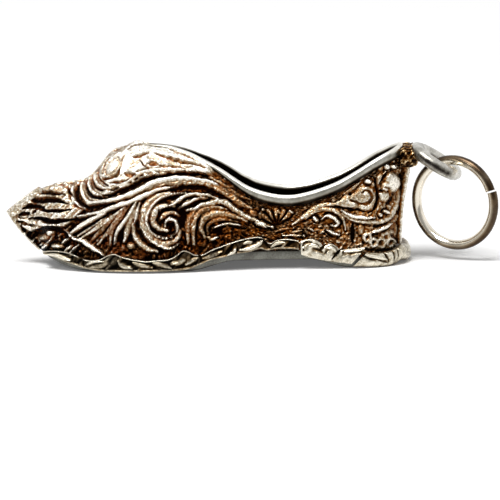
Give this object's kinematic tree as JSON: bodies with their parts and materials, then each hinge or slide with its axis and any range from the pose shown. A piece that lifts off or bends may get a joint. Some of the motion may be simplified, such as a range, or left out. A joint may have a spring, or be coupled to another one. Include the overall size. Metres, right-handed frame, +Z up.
{
  "type": "shoe charm",
  "caption": "Hollow silver slipper charm with scrolled relief, leaf-edged sole, rimmed foot opening, and a jump ring that swings in a loop at the heel.",
  "frame": {"origin": "middle of the bounding box's footprint, on the floor under the sole", "axes": "+X from the toe towards the heel and the ring, +Y to the slipper's own right, +Z up"},
  "size_m": [0.0367, 0.0104, 0.0091],
  "materials": {
    "relief_silver": "struck silver, bright on the relief with brown-black patina in the recesses",
    "sole_silver": "plain silver sheet, worn grey satin",
    "rim_silver": "drawn silver, worn bright",
    "leaf_silver": "struck silver leaf edging with dark recesses",
    "loop_silver": "silver wire, satin with a rough end",
    "solder": "rough brown silver solder",
    "ring_silver": "polished silver wire"
  },
  "bodies": {
    "slipper": {"upper_left": "relief_silver", "upper_right": "relief_silver", "sole_plate": "sole_silver", "rim_strip": "rim_silver", "fore_strip_left": "leaf_silver", "fore_strip_right": "leaf_silver", "quarter_strip_left": "leaf_silver", "quarter_strip_right": "leaf_silver", "heel_strip": "leaf_silver", "heel_loop": "loop_silver", "loop_solder": "solder"},
    "ring": {"jump_ring": "ring_silver"}
  },
  "joints": [
    {"name": "ring_swing", "type": "hinge", "parent": "slipper", "child": "ring", "pos_m": [0.01508, 0, 0.00654], "axis": [0, 1, 0], "range_deg": [-120, 12]}
  ]
}
